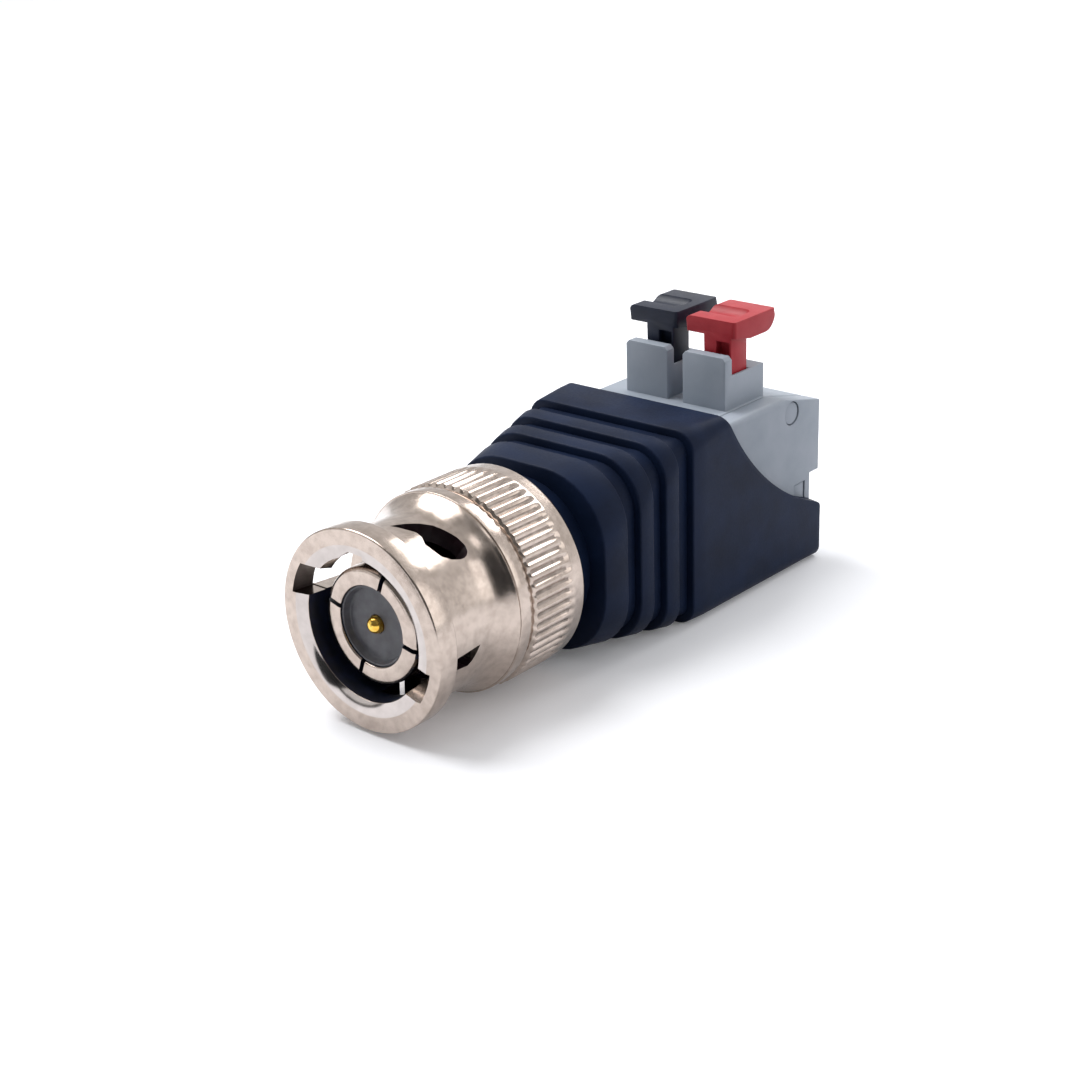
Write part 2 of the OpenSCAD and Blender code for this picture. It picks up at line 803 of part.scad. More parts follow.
// Space inside the block for one pole: contact chamber, button slot and wire entry
module pole_room() {
  half = room_w / 2;
  block([-half, block_front - cut, room_floor], [half, room_rear, room_roof]);
  block(
    [stem_left - button_fit, stem_front - button_fit, room_roof - cut],
    [stem_right + button_fit, stem_front + stem_len + button_fit, head_bottom]
  );
  translate([0, 0, wire_z]) {
    on_axis(room_rear - cut) cylinder(d = wire_d, h = rear_wall + 2 * cut);
    on_axis(block_rear - funnel_len) cylinder(d1 = wire_d, d2 = funnel_d, h = funnel_len);
  }
}

module terminal_housing() {
  color("#8b929b")
    difference() {
      union() {
        across(-block_w / 2, cover_x) block_side();
        cover_pegs(0, cover_x - cut, block_w / 2);
        for (x = poles)
          translate([x, 0, 0]) tower();
      }
      for (x = poles)
        translate([x, 0, 0]) pole_room();
    }
}

// Plate that closes the side of the block, held by the two pegs
module end_cover() {
  color("#969da6")
    difference() {
      across(cover_x, block_w / 2) block_side();
      cover_pegs(push_fit, cover_x - cut, block_w / 2 + cut);
    }
}

// Push button, drawn about its pole: grooved head, stem and the shoulder that keeps it in
module button() {
  head_right = head_left + head_w;
  head_rear = stem_front + head_len;
  stem_rear = stem_front + stem_len;
  groove_y = stem_front + head_len / 2;
  difference() {
    intersection() {
      across(head_left, head_right) {
        polygon([
          [stem_front, head_bottom + head_rise],
          [stem_rear, head_bottom],
          [head_rear - head_heel_r, head_bottom],
          [head_rear - head_heel_r, head_top],
          [stem_front, head_top]
        ]);
        translate([stem_front, head_bottom + head_heel_r]) square([head_len, head_h - head_heel_r]);
        translate([head_rear - head_heel_r, head_bottom + head_heel_r]) circle(r = head_heel_r);
      }
      translate([0, 0, head_bottom])
        linear_extrude(head_h) {
          translate([head_left + head_r, stem_front]) square([head_w - 2 * head_r, head_len]);
          translate([head_left, stem_front + head_r]) square([head_w, head_len - 2 * head_r]);
          for (x = [head_left + head_r, head_right - head_r])
            for (y = [stem_front + head_r, head_rear - head_r])
              translate([x, y]) circle(r = head_r);
        }
    }
    block(
      [head_left - cut, groove_y - head_groove_w / 2, head_top - head_groove_depth],
      [head_right - head_bridge, groove_y + head_groove_w / 2, head_top + cut]
    );
  }
  difference() {
    block([stem_left, stem_front, stem_bottom], [stem_right, stem_rear, head_bottom + head_rise]);
    translate([stem_right - stem_hollow_side - stem_hollow_w, stem_front - cut, block_top])
      cube([stem_hollow_w, stem_hollow + cut, head_bottom - block_top]);
  }
  block(
    [stem_left, stem_front - shoulder_w, stem_bottom],
    [stem_right, stem_rear + shoulder_w, stem_bottom + shoulder_h]
  );
}

module button_red() {
  color("#c8434a") translate([poles[0], 0, 0]) button();
}

module button_black() {
  color("#2b313a") translate([poles[1], 0, 0]) button();
}

// Clamp spring, drawn about its pole: a leaf bent back on itself over the contact strip
module clamp_spring() {
  axis_z = strip_top + spring_r;
  arm_end = spring_bend + spring_arm_len;
  across(-spring_w / 2, spring_w / 2) {
    difference() {
      translate([spring_bend, axis_z]) circle(r = spring_r);
      translate([spring_bend, axis_z]) circle(r = spring_r - spring_t);
      translate([spring_bend, strip_top - cut]) square([spring_r + cut, 2 * (spring_r + cut)]);
    }
    translate([spring_bend, strip_top]) square([spring_foot_len, spring_t]);
    translate([spring_bend, spring_top - spring_t]) square([spring_arm_len, spring_t]);
    translate([arm_end, spring_top])
      rotate(-spring_lip_angle) translate([0, -spring_t]) square([spring_lip_len, spring_t]);
  }
}

module clamp_spring_red() {
  color("#b9bcc0") translate([poles[0], 0, 0]) clamp_spring();
}

module clamp_spring_black() {
  color("#b9bcc0") translate([poles[1], 0, 0]) clamp_spring();
}

// Contact strip on the chamber's floor, with its solder tail ahead of the block
module contact_strip() {
  block([-strip_w / 2, block_front, room_floor], [strip_w / 2, room_rear - seat_gap, strip_top]);
  block([-tail_w / 2, tail_front, room_floor], [tail_w / 2, block_front, strip_top]);
}

module contact_strip_red() {
  color("#c9a45a") translate([poles[0], 0, 0]) contact_strip();
}

module contact_strip_black() {
  color("#c9a45a") translate([poles[1], 0, 0]) contact_strip();
}

// Round lead through a few points, rounded at its bends and ends
module lead(points) {
  for (i = [0 : len(points) - 2])
    hull()
      for (p = [points[i], points[i + 1]])
        translate(p) sphere(d = lead_d, $fn = 16);
}

// Place of a lead's last two points at a solder tail
function lead_finish(x) = [
  for (y = [tail_front - lead_end - lead_d / 2, tail_front - lead_d / 2])
    [x, y, room_floor + strip_t / 2]
];

// Lead from the centre pin's cup to the red pole
module signal_lead() {
  start = [
    for (y = [cup_rear - cup_depth + lead_d / 2, stub_rear + lead_end])
      [0, y, 0]
  ];
  color("#c84a3c") lead(concat(start, lead_finish(poles[0])));
}

// Lead from the ground lug's tab to the black pole
module ground_lead() {
  tab_end = barrel_rear + lug_t + tab_len + lead_d / 2;
  start = [
    for (y = [tab_end, tab_end + lead_end])
      [(lug_t - lug_d) / 2, y, 0]
  ];
  color("#30343a") lead(concat(start, lead_finish(poles[1])));
}

coupling_nut();
plug_body();
front_insulator();
rear_insulator();
centre_pin();
gasket();
wave_washer();
thrust_washer();
retaining_ring();
ground_lug();
boot();
terminal_housing();
end_cover();
button_red();
button_black();
clamp_spring_red();
clamp_spring_black();
contact_strip_red();
contact_strip_black();
signal_lead();
ground_lead();
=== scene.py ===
# Bayonet coaxial plug with a two-pole push-button terminal block in a ribbed boot.
# It lies on a pale table with its mating end towards the camera. Sizes are in millimetres.
from math import atan2, cos, degrees, hypot, pi, radians, sin, sqrt

import bmesh
import bpy
from mathutils import Matrix, Vector


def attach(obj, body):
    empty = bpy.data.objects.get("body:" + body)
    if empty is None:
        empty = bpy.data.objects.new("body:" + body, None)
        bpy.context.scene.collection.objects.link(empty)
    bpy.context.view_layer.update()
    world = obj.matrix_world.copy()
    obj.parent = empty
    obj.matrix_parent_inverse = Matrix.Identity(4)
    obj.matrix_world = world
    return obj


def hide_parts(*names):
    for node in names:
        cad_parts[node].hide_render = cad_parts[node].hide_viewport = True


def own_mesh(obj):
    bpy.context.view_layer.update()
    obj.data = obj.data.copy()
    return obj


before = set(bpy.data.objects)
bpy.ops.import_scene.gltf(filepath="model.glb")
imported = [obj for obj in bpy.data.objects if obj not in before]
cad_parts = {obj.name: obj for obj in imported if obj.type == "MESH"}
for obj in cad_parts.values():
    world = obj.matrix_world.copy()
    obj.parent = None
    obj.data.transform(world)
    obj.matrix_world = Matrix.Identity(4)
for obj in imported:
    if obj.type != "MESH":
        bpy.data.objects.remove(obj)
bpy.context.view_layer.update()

# Coupling nut: a brass ring, turned and knurled, then plated with bright nickel. Two bayonet
# tracks are milled through its neck, and the shade inside its bore is painted as a dark colour. It turns on
# the plug body.
MM = 0.001
NUT_FRONT = -7.4
BORE_R = 4.95
MOUTH_R = 5.88
RIM_R = 7.0
LIP_DEPTH = 0.27
KNURL_R = 7.25
KNURL_RIBS = 60
KNURL_DEPTH = 0.2
COLUMNS_PER_RIB = 10
# Share of the knurl's depth over one rib, column by column
KNURL_WAVE = (0, 0, 0.12, 0.4, 0.75, 1, 1, 0.75, 0.4, 0.12)
# Rows of points along the knurl, from the front face, and the share of its depth at each
KNURL_ROWS = {9.06: 0, 9.2: 0.7, 9.45: 1, 12.1: 1, 12.5: 0.5, 12.85: 0}


def linear(code):
    """Linear RGBA of an sRGB hex colour."""
    parts = [int(code[i : i + 2], 16) / 255 for i in (1, 3, 5)]
    return [c / 12.92 if c <= 0.04045 else ((c + 0.055) / 1.055) ** 2.4 for c in parts] + [1]


def add(tree, kind, settings=None, links=None):
    """Adds a node: settings name its properties or sockets, links its sockets' sources."""
    made = tree.nodes.new(kind)
    for key, value in (settings or {}).items():
        if key == "ramp":
            for stop, (place, code) in zip(made.color_ramp.elements, value):
                stop.position, stop.color = place, linear(code)
        elif isinstance(key, int) or key in made.inputs:
            made.inputs[key].default_value = value
        else:
            setattr(made, key, value)
    for key, (source, output) in (links or {}).items():
        tree.links.new(source.outputs[output], made.inputs[key])
    return made


def surface(name, **sockets):
    """New material with a principled shader, whose sockets are set."""
    made = bpy.data.materials.new(name)
    made.use_nodes = True
    tree = made.node_tree
    shader = tree.nodes["Principled BSDF"]
    for key, value in sockets.items():
        shader.inputs[key.replace("_", " ")].default_value = value
    return made, tree, shader


def clouded(name, spot, detail, stops, gloss, grain=None, **sockets):
    """New material with clouds of two colours, a spot in millimetres wide. Its gloss follows them,
    or a finer grain of (width, detail, strength, depth) that also stands up in the surface."""
    made, tree, shader = surface(name, **sockets)
    coords = add(tree, "ShaderNodeTexCoord")
    cloud = add(
        tree, "ShaderNodeTexNoise", {"Scale": 1 / (spot * MM), "Detail": detail},
        {"Vector": (coords, "Object")},
    )
    tint = add(tree, "ShaderNodeValToRGB", {"ramp": stops}, {"Fac": (cloud, "Fac")})
    uneven = cloud
    if grain:
        width, fineness, strength, depth = grain
        uneven = add(
            tree, "ShaderNodeTexNoise", {"Scale": 1 / (width * MM), "Detail": fineness},
            {"Vector": (coords, "Object")},
        )
        marks = add(
            tree, "ShaderNodeBump", {"Strength": strength, "Distance": depth * MM},
            {"Height": (uneven, "Fac")},
        )
        tree.links.new(marks.outputs["Normal"], shader.inputs["Normal"])
    rough = add(
        tree, "ShaderNodeMapRange", {"To Min": gloss[0], "To Max": gloss[1]}, {"Value": (uneven, "Fac")}
    )
    tree.links.new(tint.outputs["Color"], shader.inputs["Base Color"])
    tree.links.new(rough.outputs["Result"], shader.inputs["Roughness"])
    return made


def soften(outline, segments=4):
    """Rounds the corners of a closed outline of (across, along, radius) points."""
    points = []
    for i, (u, v, radius) in enumerate(outline):
        corner = Vector((u, v))
        if not radius:
            points.append(corner)
            continue
        back = (Vector(outline[i - 1][:2]) - corner).normalized()
        ahead = (Vector(outline[(i + 1) % len(outline)][:2]) - corner).normalized()
        half = back.angle(ahead) / 2
        centre = corner + (back + ahead).normalized() * radius / sin(half)
        start = corner + back * radius * cos(half) / sin(half) - centre
        turn_by = start.angle_signed(corner + ahead * radius * cos(half) / sin(half) - centre)
        for k in range(segments + 1):
            a = -turn_by * k / segments
            points.append(centre + Matrix.Rotation(a, 2) @ start)
    return points


def turned(outline, steps, closed=True):
    """Revolves an outline of (radius, y) points about the coupling axis."""
    bm = bmesh.new()
    ring = [bm.verts.new((r, y, 0)) for r, y in outline]
    ends = ring[1:] + ring[:1] if closed else ring[1:]
    edges = [bm.edges.new(pair) for pair in zip(ring, ends)]
    bmesh.ops.spin(
        bm, geom=ring + edges, axis=(0, 1, 0), cent=(0, 0, 0), angle=2 * pi, steps=steps, use_merge=True
    )
    bmesh.ops.remove_doubles(bm, verts=bm.verts, dist=1e-5)
    bmesh.ops.recalc_face_normals(bm, faces=bm.faces)
    return bm


def grow(bm, ring, places):
    """Extrudes a closed ring of vertices to new places and returns the new ring."""
    edges = [bm.edges.get(pair) for pair in zip(ring, ring[1:] + ring[:1])]
    made = bmesh.ops.extrude_edge_only(bm, edges=edges)["geom"]
    fresh = {g for g in made if isinstance(g, bmesh.types.BMVert)}
    twins = [next(e.other_vert(v) for e in v.link_edges if e.other_vert(v) in fresh) for v in ring]
    for twin, place in zip(twins, places):
        twin.co = place
    return twins


def skin(rings, capped=False):
    """Surface through rings of places, each ring with as many as the first."""
    bm = bmesh.new()
    first = [bm.verts.new(p) for p in rings[0]]
    for pair in zip(first, first[1:] + first[:1]):
        bm.edges.new(pair)
    if capped:
        bm.faces.new(first)
    ring = first
    for places in rings[1:]:
        ring = grow(bm, ring, places)
    if capped:
        bm.faces.new(ring)
    bmesh.ops.recalc_face_normals(bm, faces=bm.faces)
    return bm


def joined(bm, other, operation):
    """Boolean of two closed meshes, which are used up."""
    pair = []
    for part in (bm, other):
        mesh = bpy.data.meshes.new("blank")
        part.to_mesh(mesh)
        part.free()
        pair.append(bpy.data.objects.new("blank", mesh))
        bpy.context.scene.collection.objects.link(pair[-1])
    step = pair[0].modifiers.new("cut", "BOOLEAN")
    step.operation, step.solver, step.object = operation, "EXACT", pair[1]
    made = bmesh.new()
    made.from_object(pair[0], bpy.context.evaluated_depsgraph_get())
    for blank in pair:
        bpy.data.meshes.remove(blank.data)
    return made


def put(bm, name, body, slot, materials, *nodes, crease=35):
    """Makes a piece of a mesh in millimetres, in the place of CAD nodes."""
    bmesh.ops.scale(bm, vec=(MM, MM, MM), verts=bm.verts)
    mesh = bpy.data.meshes.new(name)
    bm.to_mesh(mesh)
    bm.free()
    mesh.shade_smooth()
    mesh.set_sharp_from_angle(angle=radians(crease))
    piece = bpy.data.objects.new(name, mesh)
    bpy.context.scene.collection.objects.link(piece)
    for material in materials:
        mesh.materials.append(material)
    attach(piece, body)
    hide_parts(*nodes)
    return piece


# Bright nickel plate mirrors softly, with faint warm clouds and a fine unevenness of its gloss.
nickel = clouded(
    "bright_nickel_plate", 0.6, 5.0, [(0.34, "#b0a298"), (0.62, "#c1b3a9")], (0.12, 0.28),
    (0.25, 3.0, 0.16, 0.02), Metallic=1.0,
)
# Plate in the knurl's valleys is rougher, and painted shade makes it darker and browner there, so the ribs
# stand out one by one.
valley_shade_nickel = clouded(
    "dull_nickel_painted_valley_shade", 0.5, 4.0, [(0.3, "#796e67"), (0.7, "#9f948c")], (0.3, 0.5), Metallic=1.0
)
# The mouth's chamfer is smoother than the plate around it, and its colour is lighter as a painted highlight.
painted_highlight_chamfer = clouded(
    "smooth_nickel_painted_highlight", 0.9, 3.0, [(0.3, "#b3aba7"), (0.7, "#c3bbb7")], (0.05, 0.1), Metallic=1.0
)
# Painted shade for the nut's bore and the sleeve's bore and saw cuts: a dark blue-black that mirrors only at
# a grazing view.
painted_shade_bore = clouded(
    "painted_shade_blue_black", 0.6, 3.0, [(0.35, "#030817"), (0.75, "#0a1330")], (0.35, 0.55), IOR=1.5
)
# Painted shade in a dark red-brown, inside the tracks and on the sleeve's outside deep in the nut.
painted_shade_red_brown = clouded(
    "red_brown_painted_shade", 0.6, 3.0, [(0.35, "#190b12"), (0.75, "#2a151c")], (0.3, 0.5), IOR=1.5
)
NUT_MATERIALS = [nickel, painted_shade_bore, valley_shade_nickel, painted_highlight_chamfer, painted_shade_red_brown]

flare = [(10.2 - 4 * cos(radians(a)), 5.2 + 4 * sin(radians(a)), 0) for a in range(0, 37, 3)]
first_row, *other_rows = KNURL_ROWS
outline = soften(
    [
        (MOUTH_R, 0, 0.04), (RIM_R, 0, 0.14), (RIM_R, 1.66, 0.12), (6.2, 2.0, 0.16), *flare,
        (7.0, 7.68, 0), (7.1, 7.7, 0.04), (7.1, 8.64, 0.05), (6.88, 8.68, 0), (6.88, 9.02, 0),
        (6.98, first_row, 0), *[(KNURL_R, y, 0) for y in other_rows],
        (KNURL_R, 13.0, 0), (7.2, 13.2, 0), (7.2, 14.15, 0.32), (6.1, 14.15, 0.1), (6.1, 12.42, 0),
        (6.4, 12.42, 0), (6.4, 11.68, 0), (6.1, 11.68, 0), (6.1, 9.4, 0), (4.47, 9.4, 0), (4.47, 8.6, 0),
        (BORE_R, 8.6, 0), (BORE_R, LIP_DEPTH, 0.03),
    ]
)
nut = turned([(r, NUT_FRONT + y) for r, y in outline], KNURL_RIBS * COLUMNS_PER_RIB)
share_at = {round(NUT_FRONT + y, 3): share for y, share in KNURL_ROWS.items()}
for v in nut.verts:
    share = share_at.get(round(v.co.y, 3), 0)
    if share and hypot(v.co.x, v.co.z) > RIM_R:
        column = round(atan2(v.co.z, v.co.x) / (2 * pi) * KNURL_RIBS * COLUMNS_PER_RIB)
        sunk = 1 - KNURL_DEPTH * share * KNURL_WAVE[column % COLUMNS_PER_RIB] / KNURL_R
        v.co.x *= sunk
        v.co.z *= sunk

# Edges of a window as (angle, distance from the front face), from its narrow end to the lock
WINDOW_FRONT = (
    (90.5, 3.4), (89, 3.44), (80.9, 3.69), (74.1, 4.0), (68.9, 3.92), (63.4, 3.6), (57.3, 3.72),
    (51.7, 3.91), (47.4, 4.45), (45.2, 5.1), (45, 5.4),
)
WINDOW_REAR = (
    (90.5, 3.45), (89, 3.75), (85.9, 4.3), (80.6, 4.96), (74, 5.5), (66.3, 5.78), (58.3, 6.02), (51.6, 6.08),
    (47.6, 5.95), (45.6, 5.7), (45, 5.45),
)
# Inner and outer end of a cut through the neck's wall
THROUGH = (4.5, 7.6)
# An entry's floor, and its two sides as heights at distances from the front face
ENTRY_RADIUS = 6.2
ENTRY_SIDES = ((-0.6, 1.33, 3.8), (0, 1.3, 3.55), (1.9, 1.14, 2.8))
# Track behind the lip, from the entry to the window: angles, outer radius, front and rear end
TRACK = (88, 153, 6.0, 1.75, 4.7)
# Openings of the two tracks in the neck, as (distance from the front face, height)
OPENINGS = (
    ((1.85, 1.2), (3.57, 1.03), (5.4, 0.9), (5.4, 3.6), (3.6, 4.7), (1.85, 4.7)),
    (
        (1.85, 1.2), (2.58, 1.13), (3.57, 1.03), (4.7, 0.91), (4.42, 1.42), (4.12, 1.86), (3.73, 2.15),
        (2.7, 2.05), (1.85, 2.0),
    ),
)
# Cut in the mouth's lip beside the upper entry, seen from the front
LIP_CUT = ((-3.5, 3.5), (-0.75, 5.33), (0.5, 5.3), (0.5, 3), (-3, 3))


def along(points, count):
    """Places at even steps along a line of points."""
    sizes = [hypot(b[0] - a[0], 9 * (b[1] - a[1])) for a, b in zip(points, points[1:])]
    places = []
    for k in range(count):
        rest, i = sum(sizes) * k / (count - 1), 0
        while i < len(sizes) - 1 and rest > sizes[i]:
            rest -= sizes[i]
            i += 1
        places.append(Vector(points[i]).lerp(Vector(points[i + 1]), rest / sizes[i]))
    return places


def at(angle, radius, y):
    """Place at an angle from +X towards +Z about the coupling axis."""
    return radius * cos(radians(angle)), y, radius * sin(radians(angle))


def brick(low, high):
    """Closed box between two corners."""
    bm = bmesh.new()
    bmesh.ops.create_cube(bm, size=1)
    size = Vector(high) - Vector(low)
    bmesh.ops.scale(bm, vec=size, verts=bm.verts)
    bmesh.ops.translate(bm, vec=Vector(low) + size / 2, verts=bm.verts)
    return bm


def spun(bm, angle):
    """Turns a mesh about the coupling axis, from +X towards +Z."""
    bmesh.ops.rotate(bm, matrix=Matrix.Rotation(radians(-angle), 3, "Y"), verts=bm.verts)
    return bm


def wedge(start, end, radius, y0, y1):
    """Closed block round the axis between two angles, out to a radius."""
    turns = [start + (end - start) * k / 24 for k in range(25)]
    corners = ((3.5, y0), (radius, y0), (radius, y1), (3.5, y1))
    return skin([[at(turn_by, r, NUT_FRONT + y) for r, y in corners] for turn_by in turns], capped=True)


inner, outer = THROUGH
for turn_by, opening in zip((0, 180), OPENINGS):
    window = []
    for front, rear in zip(along(WINDOW_FRONT, 72), along(WINDOW_REAR, 72)):
        window.append([
            at(edge[0], radius, NUT_FRONT + edge[1])
            for edge, radius in ((front, inner), (front, outer), (rear, outer), (rear, inner))
        ])
    entry = []
    for y, low, high in ENTRY_SIDES:
        steps = [low + (high - low) * k / 8 for k in range(9)]
        floor = [(-sqrt(ENTRY_RADIUS**2 - z**2), NUT_FRONT + y, z) for z in steps]
        entry.append([(-3, NUT_FRONT + y, low), *floor, (-3, NUT_FRONT + y, high)])
    cutters = [
        skin(window, capped=True),
        skin(entry, capped=True),
        skin([[(x, NUT_FRONT + y, z) for y, z in opening] for x in (-outer, -3)], capped=True),
        wedge(*TRACK),
    ]
    if not turn_by:
        cutters.append(skin([[(x, NUT_FRONT + y, z) for x, z in LIP_CUT] for y in (-0.6, 1.8)], capped=True))
    for cutter in cutters:
        nut = joined(nut, spun(cutter, turn_by), "DIFFERENCE")
for face in nut.faces:
    centre = face.calc_center_median()
    radius = hypot(centre.x, centre.z)
    deep = centre.y - NUT_FRONT
    angle = degrees(atan2(centre.z, centre.x)) % 360
    in_track = 5 < radius < 6.15 and 1.8 < deep < 6.5
    seen_in_track = in_track and (angle < 104 or (180 < angle and face.normal.y > -0.7))
    entry_floor = 6.1 < radius < ENTRY_RADIUS + 0.02 and deep < 1.9
    beside_entry = 100 < angle < 165 and deep < 2.5
    # The mouth's chamfer gets the smoother plate with its painted highlight.
    if BORE_R + 0.02 < radius < MOUTH_R - 0.01 and deep < LIP_DEPTH + 0.005:
        face.material_index = NUT_MATERIALS.index(painted_highlight_chamfer)
    # The bore behind the lip gets the blue-black painted shade, except beside the upper entry.
    if radius < BORE_R + 0.02 and deep > LIP_DEPTH + 0.03 and not beside_entry:
        face.material_index = NUT_MATERIALS.index(painted_shade_bore)
    # The entry floors and the track walls that show get the red-brown painted shade.
    if entry_floor or seen_in_track:
        face.material_index = NUT_MATERIALS.index(painted_shade_red_brown)
    # The knurl's valleys get the rougher plate with its painted shade.
    if 6.9 < radius < 7.13 and 9.2 < deep < 12.8:
        face.material_index = NUT_MATERIALS.index(valley_shade_nickel)
put(nut, "nut_shell", "nut", "nickel_plate", NUT_MATERIALS, "coupling_nut")

# Plug body: one turned brass piece, nickel-plated. Its contact sleeve has four sprung fingers,
# parted by saw cuts, and its hub carries the nut. Its bore, its saw cuts and its outside deep in the nut get
# painted shade.
SLEEVE_FRONT = -6.4
SLEEVE_R = 4.05
SLEEVE_BORE_R = 2.8
SAW_ANGLES = (-11, 70, 164, 251)
SAW_WIDTH = 0.34
SAW_LENGTH = 4.6
outline = soften(
    [
        (SLEEVE_BORE_R, SLEEVE_FRONT, 0.12), (SLEEVE_R, SLEEVE_FRONT, 0.4), (SLEEVE_R, -5.2, 0),
        (SLEEVE_R, 0, 0), (4.25, 0, 0), (4.25, 0.6, 0), (4.42, 0.6, 0), (4.42, 2.05, 0), (5.8, 2.05, 0),
        (5.8, 2.85, 0), (4.42, 2.85, 0), (4.42, 7.2, 0), (4.0, 7.2, 0), (4.0, 13.25, 0), (3.2, 13.25, 0),
        (3.2, 13.8, 0), (2.4, 13.8, 0), (2.4, 5.05, 0), (1.6, 5.05, 0), (1.6, 3.05, 0),
        (SLEEVE_BORE_R, 3.05, 0),
    ]
)
shell = turned(outline, 192)
for angle in SAW_ANGLES:
    saw = brick((2, SLEEVE_FRONT - 1, -SAW_WIDTH / 2), (5, SLEEVE_FRONT + SAW_LENGTH, SAW_WIDTH / 2))
    shell = joined(shell, spun(saw, angle), "DIFFERENCE")
SLEEVE_MATERIALS = [nickel, painted_shade_bore, painted_shade_red_brown]
behind_tip = SLEEVE_FRONT + 0.15
for face in shell.faces:
    centre = face.calc_center_median()
    radius = hypot(centre.x, centre.z)
    beside = [abs(centre.x * sin(radians(a)) - centre.z * cos(radians(a))) for a in SAW_ANGLES]
    in_cut = min(beside) < SAW_WIDTH / 2 + 0.01 and behind_tip < centre.y < -1.7
    # The saw cuts and the sleeve's bore get the blue-black painted shade.
    if in_cut or (radius < SLEEVE_BORE_R + 0.02 and centre.y > behind_tip):
        face.material_index = SLEEVE_MATERIALS.index(painted_shade_bore)
    # The sleeve's outside deep in the nut gets the red-brown painted shade.
    if radius > SLEEVE_R - 0.15 and -5.2 < centre.y < 1:
        face.material_index = SLEEVE_MATERIALS.index(painted_shade_red_brown)
put(shell, "sleeve_body", "adapter", "nickel_plate", SLEEVE_MATERIALS, "plug_body")

# Front insulator: a moulded ring of translucent grey plastic, pressed into the sleeve round the
# pin. Its front is a shallow cup, with a thin wall along the sleeve and a soft inner corner.
outline = soften(
    [
        (0.66, -5.8, 0), (2.5, -5.72, 0.12), (2.64, -6.22, 0.02), (2.78, -6.22, 0.03), (2.78, 3.03, 0),
        (0.66, 3.03, 0),
    ]
)
# The plastic lets a little light in, so its shades run softly into each other.
milky = clouded(
    "moulded_grey_insulator", 0.8, 3.0, [(0.3, "#56565b"), (0.7, "#68686d")], (0.3, 0.42), IOR=1.4,
    Subsurface_Weight=0.35, Subsurface_Radius=(0.8 * MM, 0.6 * MM, 0.5 * MM), Subsurface_Scale=1.0,
)
put(turned(outline, 96), "grey_insulator", "adapter", "insulator_plastic", [milky], "front_insulator")

# Centre pin: turned brass with a rounded tip, plated with gold. Its collar is trapped between
# the insulators, and the rear end is a solder cup.
PIN_R = 0.62
tip = [(PIN_R * sin(radians(a)), -5.85 - PIN_R * cos(radians(a))) for a in range(0, 91, 10)]
outline = tip + [
    (PIN_R, 3.07), (1.2, 3.07), (1.2, 5.03), (PIN_R, 5.03), (PIN_R, 9.05), (0.95, 9.05), (0.95, 12.55),
    (0.47, 12.55), (0.47, 10.15), (0, 10.15),
]
# Gold plate is a clear warm mirror with a faint unevenness.
gold = clouded(
    "polished_gold_plate", 0.3, 2.0, [(0.3, "#e0ab3e"), (0.7, "#f6d06c")], (0.1, 0.22), Metallic=1.0
)
put(turned(outline, 48, closed=False), "gold_pin", "adapter", "gold_plate", [gold], "centre_pin")

# Boot: one moulding of blue-black PVC with three ribs on one even taper, closed round the plug's
# barrel and open at the rear, where its side walls sweep down along the terminal block.
BOOT_FRONT = 7.25
RIBS_FRONT = 9.05
BARREL_END = 13.2
COLLAR_FRONT = 18.5
BLOCK_SEAT = 20.1
COLLAR_REAR = 22.65
BOOT_REAR = 35.07
BOOT_WIDTH = 15
BOOT_TOP = 7.6
BOOT_BOTTOM = 7.25
WING_TOP = -2.7
WALL_CORNER = 0.9
SWEEP_R = 22
CORNER_STEPS = 9
LEVEL_STEPS = 8
EDGE = 0.12
GROOVE = 0.6
# Sections of the boot as width, height above the axis, depth below it and corner radius
BARREL_HOLE = (8.06, 4.03, 4.03, 3.9)
NOSE = (11.4, 5.7, 5.7, 5.6)
FIRST_RIB = (14.1, 6.65, 6.8, 5.2)
COLLAR = (BOOT_WIDTH, 7.5, BOOT_BOTTOM, 1.6)
COLLAR_MIDDLE = (BOOT_WIDTH, 7.58, BOOT_BOTTOM, 1.3)
BLOCK_ROOM = (13, 6.43, 6.2, 0.2)
LEAD_ROOM = (10.4, 4.2, 4.2, 0.4)
# Front and rear end of each rib, from the nut to the collar
RIBS = ((RIBS_FRONT, 11.45), (12.8, 14.2), (15.55, 16.95))

# Centre of the sweep, from the two points that it joins
span = Vector((BOOT_REAR - COLLAR_REAR, WING_TOP - BOOT_TOP))
rise = sqrt(SWEEP_R**2 - span.length_squared / 4) / span.length
sweep = Vector((COLLAR_REAR + BOOT_REAR, BOOT_TOP + WING_TOP)) / 2 + rise * Vector((-span.y, span.x))


def rear_edge(z, blend=0.9):
    """Place along the axis where the side walls end at a height, with a soft lower corner."""
    arc = sweep.x - sqrt(max(SWEEP_R**2 - (z - sweep.y) ** 2, 0))
    near = max(blend - abs(arc - BOOT_REAR), 0) / blend
    return min(arc, BOOT_REAR) - near * near * blend / 4


# Heights of the points on a side wall, close together where the sweep runs flat
heights = [-5.2, -4.6, -4.0, -3.6]
heights += [sweep.y - SWEEP_R * sin(radians(a)) for a in [76 - 1.2 * k for k in range(40)]]
heights = [z for z in heights if z < 6.2]
shares = [(z + 5.4) / 12.2 for z in heights]


